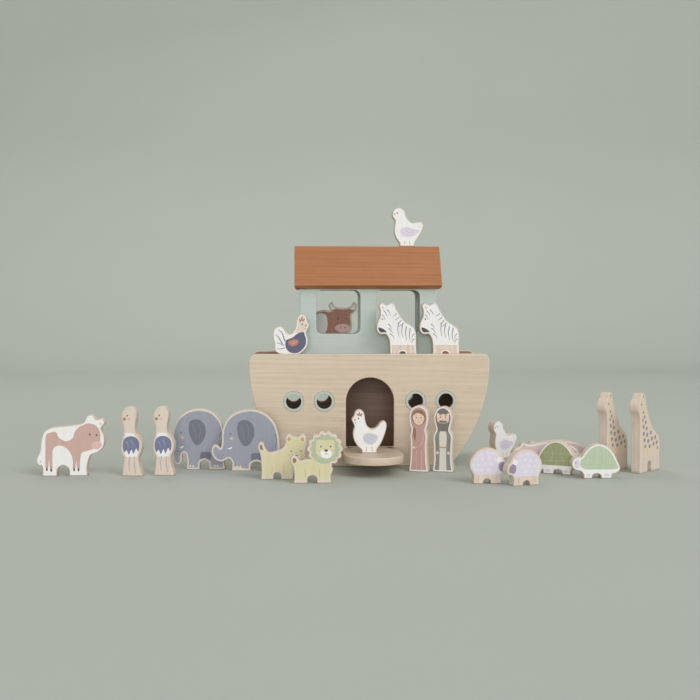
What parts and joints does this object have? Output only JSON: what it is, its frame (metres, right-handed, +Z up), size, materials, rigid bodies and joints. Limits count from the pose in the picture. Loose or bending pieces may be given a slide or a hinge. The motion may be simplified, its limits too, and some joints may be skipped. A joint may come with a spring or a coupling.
{
  "type": "noah's ark toy",
  "caption": "Wooden toy ark with arched doorway and fold-down ramp, windowed cabin under a lift-off roof, and a set of printed cut-out animal and people figures.",
  "frame": {"origin": "middle of the hull's underside, on the ground", "axes": "+X along the row of figures to the right as seen from the doorway's side, +Y from the doorway to the back, +Z up"},
  "size_m": [0.7497, 0.2802, 0.3264],
  "materials": {
    "hull_wood": "satin clear lacquer on birch plywood",
    "mint_paint": "matt mint water-based paint on wood",
    "terracotta_paint": "matt terracotta water-based paint on wood",
    "beech": "satin clear lacquer on beech",
    "steel_pin": "plain drawn steel pin",
    "print_white": "off-white print on birch plywood, satin",
    "print_brown": "brown print on birch plywood, satin",
    "print_cream": "cream print on birch plywood, satin",
    "print_grey": "grey print on birch plywood, satin",
    "print_yellow": "pale yellow print on birch plywood, satin",
    "print_green": "sage green print on birch plywood, satin",
    "print_lilac": "lilac pink print on birch plywood, satin",
    "print_pink": "dusty pink print on birch plywood, satin"
  },
  "bodies": {
    "ark": {"hull_front_panel": "hull_wood", "hull_back_panel": "hull_wood", "hull_bow_wall": "hull_wood", "hull_stern_wall": "hull_wood", "hull_floor": "hull_wood", "deck": "hull_wood", "front_porthole_rings": "mint_paint", "back_porthole_rings": "mint_paint", "hull_dowels": "beech", "cabin_front_wall": "mint_paint", "cabin_back_wall": "mint_paint", "cabin_left_wall": "mint_paint", "cabin_right_wall": "mint_paint", "cabin_dowels": "beech", "ramp_hinge_pin": "steel_pin", "ramp_hinge_eyes": "beech"},
    "roof": {"roof_front_board": "terracotta_paint", "roof_back_board": "terracotta_paint", "roof_ridge_bar": "terracotta_paint", "roof_cleats": "terracotta_paint"},
    "ramp": {"ramp_door": "beech"},
    "cow": {"cow": "print_white"},
    "bull": {"bull": "print_brown"},
    "ostrich_1": {"ostrich_1": "print_cream"},
    "ostrich_2": {"ostrich_2": "print_cream"},
    "elephant_1": {"elephant_1": "print_grey"},
    "elephant_2": {"elephant_2": "print_grey"},
    "lioness": {"lioness": "print_yellow"},
    "lion": {"lion": "print_yellow"},
    "hen": {"hen": "print_white"},
    "rooster": {"rooster": "print_cream"},
    "zebra_1": {"zebra_1": "print_white"},
    "zebra_2": {"zebra_2": "print_white"},
    "dove_1": {"dove_1": "print_white"},
    "dove_2": {"dove_2": "print_white"},
    "sheep_1": {"sheep_1": "print_white"},
    "sheep_2": {"sheep_2": "print_white"},
    "tortoise_1": {"tortoise_1": "print_green"},
    "tortoise_2": {"tortoise_2": "print_green"},
    "hippo_1": {"hippo_1": "print_lilac"},
    "hippo_2": {"hippo_2": "print_lilac"},
    "giraffe_1": {"giraffe_1": "print_cream"},
    "giraffe_2": {"giraffe_2": "print_cream"},
    "noah": {"noah": "print_grey"},
    "wife": {"wife": "print_pink"}
  },
  "joints": [
    {"name": "ramp_hinge", "type": "hinge", "parent": "ark", "child": "ramp", "pos_m": [0, -0.065, 0.0195], "axis": [-1, 0, 0], "range_deg": [0, 90]},
    {"name": "roof_lift", "type": "slide", "parent": "ark", "child": "roof", "axis": [0, 0, 1], "range_m": [0, 0.12]},
    {"name": "cow_lift", "type": "slide", "parent": "ark", "child": "cow", "axis": [0, 0, 1], "range_m": [0, 0.1]},
    {"name": "bull_lift", "type": "slide", "parent": "ark", "child": "bull", "axis": [0, 0, 1], "range_m": [0, 0.15]},
    {"name": "ostrich_1_lift", "type": "slide", "parent": "ark", "child": "ostrich_1", "axis": [0, 0, 1], "range_m": [0, 0.1]},
    {"name": "ostrich_2_lift", "type": "slide", "parent": "ark", "child": "ostrich_2", "axis": [0, 0, 1], "range_m": [0, 0.1]},
    {"name": "elephant_1_lift", "type": "slide", "parent": "ark", "child": "elephant_1", "axis": [0, 0, 1], "range_m": [0, 0.1]},
    {"name": "elephant_2_lift", "type": "slide", "parent": "ark", "child": "elephant_2", "axis": [0, 0, 1], "range_m": [0, 0.1]},
    {"name": "lioness_lift", "type": "slide", "parent": "ark", "child": "lioness", "axis": [0, 0, 1], "range_m": [0, 0.1]},
    {"name": "lion_lift", "type": "slide", "parent": "ark", "child": "lion", "axis": [0, 0, 1], "range_m": [0, 0.1]},
    {"name": "hen_lift", "type": "slide", "parent": "ramp", "child": "hen", "axis": [0, 0, 1], "range_m": [0, 0.05]},
    {"name": "rooster_lift", "type": "slide", "parent": "ark", "child": "rooster", "axis": [0, 0, 1], "range_m": [0, 0.15]},
    {"name": "zebra_1_lift", "type": "slide", "parent": "ark", "child": "zebra_1", "axis": [0, 0, 1], "range_m": [0, 0.15]},
    {"name": "zebra_2_lift", "type": "slide", "parent": "ark", "child": "zebra_2", "axis": [0, 0, 1], "range_m": [0, 0.15]},
    {"name": "dove_1_lift", "type": "slide", "parent": "roof", "child": "dove_1", "axis": [0, 0, 1], "range_m": [0, 0.1]},
    {"name": "dove_2_lift", "type": "slide", "parent": "ark", "child": "dove_2", "axis": [0, 0, 1], "range_m": [0, 0.1]},
    {"name": "sheep_1_lift", "type": "slide", "parent": "ark", "child": "sheep_1", "axis": [0, 0, 1], "range_m": [0, 0.1]},
    {"name": "sheep_2_lift", "type": "slide", "parent": "ark", "child": "sheep_2", "axis": [0, 0, 1], "range_m": [0, 0.1]},
    {"name": "tortoise_1_lift", "type": "slide", "parent": "ark", "child": "tortoise_1", "axis": [0, 0, 1], "range_m": [0, 0.1]},
    {"name": "tortoise_2_lift", "type": "slide", "parent": "ark", "child": "tortoise_2", "axis": [0, 0, 1], "range_m": [0, 0.1]},
    {"name": "hippo_1_lift", "type": "slide", "parent": "ark", "child": "hippo_1", "axis": [0, 0, 1], "range_m": [0, 0.1]},
    {"name": "hippo_2_lift", "type": "slide", "parent": "ark", "child": "hippo_2", "axis": [0, 0, 1], "range_m": [0, 0.1]},
    {"name": "giraffe_1_lift", "type": "slide", "parent": "ark", "child": "giraffe_1", "axis": [0, 0, 1], "range_m": [0, 0.1]},
    {"name": "giraffe_2_lift", "type": "slide", "parent": "ark", "child": "giraffe_2", "axis": [0, 0, 1], "range_m": [0, 0.1]},
    {"name": "noah_lift", "type": "slide", "parent": "ark", "child": "noah", "axis": [0, 0, 1], "range_m": [0, 0.1]},
    {"name": "wife_lift", "type": "slide", "parent": "ark", "child": "wife", "axis": [0, 0, 1], "range_m": [0, 0.1]}
  ]
}
